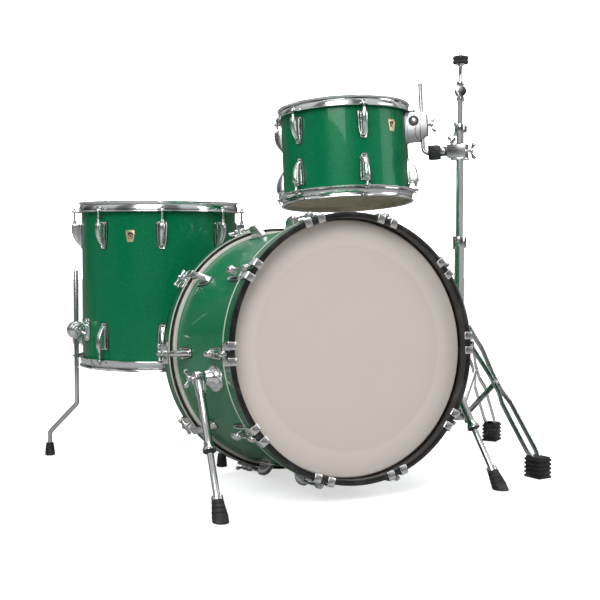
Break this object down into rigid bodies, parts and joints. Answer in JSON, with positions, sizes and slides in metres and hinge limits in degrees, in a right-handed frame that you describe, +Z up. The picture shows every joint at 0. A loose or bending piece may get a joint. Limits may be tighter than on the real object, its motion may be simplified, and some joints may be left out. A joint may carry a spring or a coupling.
{
  "type": "acoustic drum kit",
  "caption": "Acoustic drum kit: bass drum on spurs, floor tom on legs, and a rack tom clamped to a folding cymbal stand.",
  "frame": {"origin": "on the floor, under the middle of the kit", "axes": "+Z up, -Y towards the audience and the bass drum front head, +X towards the cymbal stand"},
  "size_m": [1.2212, 1.1062, 1.05],
  "materials": {
    "sparkle_shell": "green glitter wrap under gloss, bare maple inside",
    "drumhead": "coated film with a slight texture",
    "lacquered_hoop": "black gloss lacquer with a glitter inlay",
    "chrome_hoop": "polished chrome on pressed steel",
    "chrome_casting": "polished chrome on zinc casting",
    "chrome_fastener": "polished chrome",
    "chrome_tube": "polished chrome on steel tube and bar",
    "black_tilter": "satin black",
    "nylon": "black nylon",
    "felt": "pressed grey-black felt",
    "black_rubber": "ribbed black rubber"
  },
  "bodies": {
    "bass_drum": {"bass_shell": "sparkle_shell", "bass_batter_head": "drumhead", "bass_front_head": "drumhead", "bass_batter_hoop": "lacquered_hoop", "bass_front_hoop": "lacquered_hoop", "bass_lugs": "chrome_casting", "bass_claws": "chrome_casting", "bass_front_rods": "chrome_fastener", "bass_batter_t_rods": "chrome_fastener", "bass_spur_brackets": "chrome_casting", "spur_wing_screws": "chrome_fastener"},
    "spur_left": {"spur_left_tube": "chrome_tube"},
    "spur_left_leg": {"spur_left_rod": "chrome_tube", "spur_left_foot": "black_rubber"},
    "spur_right": {"spur_right_tube": "chrome_tube"},
    "spur_right_leg": {"spur_right_rod": "chrome_tube", "spur_right_foot": "black_rubber"},
    "floor_tom": {"floor_tom_shell": "sparkle_shell", "floor_tom_batter_head": "drumhead", "floor_tom_bottom_head": "drumhead", "floor_tom_hoops": "chrome_hoop", "floor_tom_lugs": "chrome_casting", "floor_tom_rods": "chrome_fastener", "floor_tom_leg_brackets": "chrome_casting", "floor_tom_leg_wing_screws": "chrome_fastener"},
    "floor_tom_leg_1": {"floor_tom_leg_1": "chrome_tube", "floor_tom_leg_1_foot": "black_rubber"},
    "floor_tom_leg_2": {"floor_tom_leg_2": "chrome_tube", "floor_tom_leg_2_foot": "black_rubber"},
    "floor_tom_leg_3": {"floor_tom_leg_3": "chrome_tube", "floor_tom_leg_3_foot": "black_rubber"},
    "stand_base": {"stand_base_tube": "chrome_tube"},
    "stand_collar": {"stand_leg_collar": "chrome_tube"},
    "stand_leg_1": {"stand_leg_1": "chrome_tube", "stand_foot_1": "black_rubber"},
    "stand_brace_1": {"stand_brace_1": "chrome_tube"},
    "stand_leg_2": {"stand_leg_2": "chrome_tube", "stand_foot_2": "black_rubber"},
    "stand_brace_2": {"stand_brace_2": "chrome_tube"},
    "stand_leg_3": {"stand_leg_3": "chrome_tube", "stand_foot_3": "black_rubber"},
    "stand_brace_3": {"stand_brace_3": "chrome_tube"},
    "stand_middle": {"stand_middle_tube": "chrome_tube"},
    "stand_top": {"stand_top_rod": "chrome_tube"},
    "cymbal_post": {"stand_cymbal_post": "chrome_tube", "stand_cymbal_felts": "felt"},
    "clamp_sleeve": {"tom_clamp_sleeve": "nylon"},
    "tom_clamp": {"tom_clamp": "chrome_casting"},
    "clamp_wing": {"tom_clamp_wing": "chrome_fastener"},
    "tom_tilter": {"tom_tilter": "black_tilter"},
    "tom_arm": {"tom_arm": "chrome_tube"},
    "rack_tom": {"rack_tom_shell": "sparkle_shell", "rack_tom_batter_head": "drumhead", "rack_tom_bottom_head": "drumhead", "rack_tom_hoops": "chrome_hoop", "rack_tom_lugs": "chrome_casting", "rack_tom_rods": "chrome_fastener", "rack_tom_bracket": "chrome_casting"},
    "rack_tom_wing": {"rack_tom_bracket_wing": "chrome_fastener"}
  },
  "joints": [
    {"name": "spur_left_fold", "type": "hinge", "parent": "bass_drum", "child": "spur_left", "pos_m": [-0.43195, -0.34314, 0.26726], "axis": [1, 0, 0], "range_deg": [0, 95]},
    {"name": "spur_left_length", "type": "slide", "parent": "spur_left", "child": "spur_left_leg", "axis": [0.0782, 0.5758, 0.8138], "range_m": [-0.02, 0.06]},
    {"name": "spur_right_fold", "type": "hinge", "parent": "bass_drum", "child": "spur_right", "pos_m": [0.19667, -0.34314, 0.26726], "axis": [1, 0, 0], "range_deg": [0, 95]},
    {"name": "spur_right_length", "type": "slide", "parent": "spur_right", "child": "spur_right_leg", "axis": [-0.0782, 0.5758, 0.8138], "range_m": [-0.02, 0.06]},
    {"name": "floor_tom_place", "type": "slide", "parent": "bass_drum", "child": "floor_tom", "axis": [-1, 0, 0], "range_m": [0, 0.3]},
    {"name": "floor_tom_leg_1_height", "type": "slide", "parent": "floor_tom", "child": "floor_tom_leg_1", "axis": [0, 0, 1], "range_m": [-0.1, 0.13]},
    {"name": "floor_tom_leg_2_height", "type": "slide", "parent": "floor_tom", "child": "floor_tom_leg_2", "axis": [0, 0, 1], "range_m": [-0.1, 0.13]},
    {"name": "floor_tom_leg_3_height", "type": "slide", "parent": "floor_tom", "child": "floor_tom_leg_3", "axis": [0, 0, 1], "range_m": [-0.1, 0.13]},
    {"name": "stand_place", "type": "slide", "parent": "bass_drum", "child": "stand_base", "axis": [1, 0, 0], "range_m": [0, 0.3]},
    {"name": "stand_fold", "type": "slide", "parent": "stand_base", "child": "stand_collar", "axis": [0, 0, 1], "range_m": [0, 0.088]},
    {"name": "stand_leg_1_hinge", "type": "hinge", "parent": "stand_collar", "child": "stand_leg_1", "pos_m": [0.35141, -0.20102, 0.34], "axis": [-0.9925, -0.1219, 0], "range_deg": [-33.5, 0]},
    {"name": "stand_brace_1_hinge", "type": "hinge", "parent": "stand_base", "child": "stand_brace_1", "pos_m": [0.35141, -0.20102, 0.115], "axis": [-0.9925, -0.1219, 0], "range_deg": [0, 41.3]},
    {"name": "stand_leg_2_hinge", "type": "hinge", "parent": "stand_collar", "child": "stand_leg_2", "pos_m": [0.37172, -0.15319, 0.34], "axis": [0.6018, -0.7986, 0], "range_deg": [-33.5, 0]},
    {"name": "stand_brace_2_hinge", "type": "hinge", "parent": "stand_base", "child": "stand_brace_2", "pos_m": [0.37172, -0.15319, 0.115], "axis": [0.6018, -0.7986, 0], "range_deg": [0, 41.3]},
    {"name": "stand_leg_3_hinge", "type": "hinge", "parent": "stand_collar", "child": "stand_leg_3", "pos_m": [0.32232, -0.15534, 0.34], "axis": [0.5299, 0.848, 0], "range_deg": [-33.5, 0]},
    {"name": "stand_brace_3_hinge", "type": "hinge", "parent": "stand_base", "child": "stand_brace_3", "pos_m": [0.32232, -0.15534, 0.115], "axis": [0.5299, 0.848, 0], "range_deg": [0, 41.3]},
    {"name": "stand_middle_height", "type": "slide", "parent": "stand_base", "child": "stand_middle", "axis": [0, 0, 1], "range_m": [-0.02, 0.15]},
    {"name": "stand_top_height", "type": "slide", "parent": "stand_middle", "child": "stand_top", "axis": [0, 0, 1], "range_m": [-0.045, 0.12]},
    {"name": "cymbal_tilt", "type": "hinge", "parent": "stand_top", "child": "cymbal_post", "pos_m": [0.34776, -0.17124, 0.943], "axis": [0.4384, 0.8988, 0], "range_deg": [-70, 70]},
    {"name": "clamp_height", "type": "slide", "parent": "stand_middle", "child": "clamp_sleeve", "axis": [0, 0, 1], "range_m": [-0.02, 0.008]},
    {"name": "clamp_turn", "type": "hinge", "parent": "clamp_sleeve", "child": "tom_clamp", "pos_m": [0.34776, -0.17124, 0.79126], "axis": [0, 0, 1], "range_deg": [-30, 25]},
    {"name": "clamp_wing_turn", "type": "hinge", "parent": "tom_clamp", "child": "clamp_wing", "pos_m": [0.34776, -0.17124, 0.79126], "axis": [0.652, -0.7582, 0], "continuous": true},
    {"name": "arm_tilt", "type": "hinge", "parent": "tom_clamp", "child": "tom_tilter", "pos_m": [0.32038, -0.13939, 0.79126], "axis": [0.7582, 0.652, 0], "range_deg": [-5, 12]},
    {"name": "arm_roll", "type": "hinge", "parent": "tom_tilter", "child": "tom_arm", "pos_m": [0.32038, -0.13939, 0.79126], "axis": [0.65, -0.756, 0.0768], "range_deg": [-8, 8]},
    {"name": "tom_turn", "type": "hinge", "parent": "tom_arm", "child": "rack_tom", "pos_m": [0.28433, -0.09747, 0.787], "axis": [0, 0.1011, 0.9949], "range_deg": [-45, 45]},
    {"name": "rack_tom_wing_turn", "type": "hinge", "parent": "rack_tom", "child": "rack_tom_wing", "pos_m": [0.2899, -0.09486, 0.8623], "axis": [0.7431, -0.6657, 0.0676], "continuous": true}
  ],
  "couplings": [
    {"joint": "stand_leg_1_hinge", "follows": "stand_fold", "rad_per_m": -6.6225},
    {"joint": "stand_brace_1_hinge", "follows": "stand_fold", "rad_per_m": 8.1628},
    {"joint": "stand_leg_2_hinge", "follows": "stand_fold", "rad_per_m": -6.6225},
    {"joint": "stand_brace_2_hinge", "follows": "stand_fold", "rad_per_m": 8.1628},
    {"joint": "stand_leg_3_hinge", "follows": "stand_fold", "rad_per_m": -6.6225},
    {"joint": "stand_brace_3_hinge", "follows": "stand_fold", "rad_per_m": 8.1628}
  ]
}
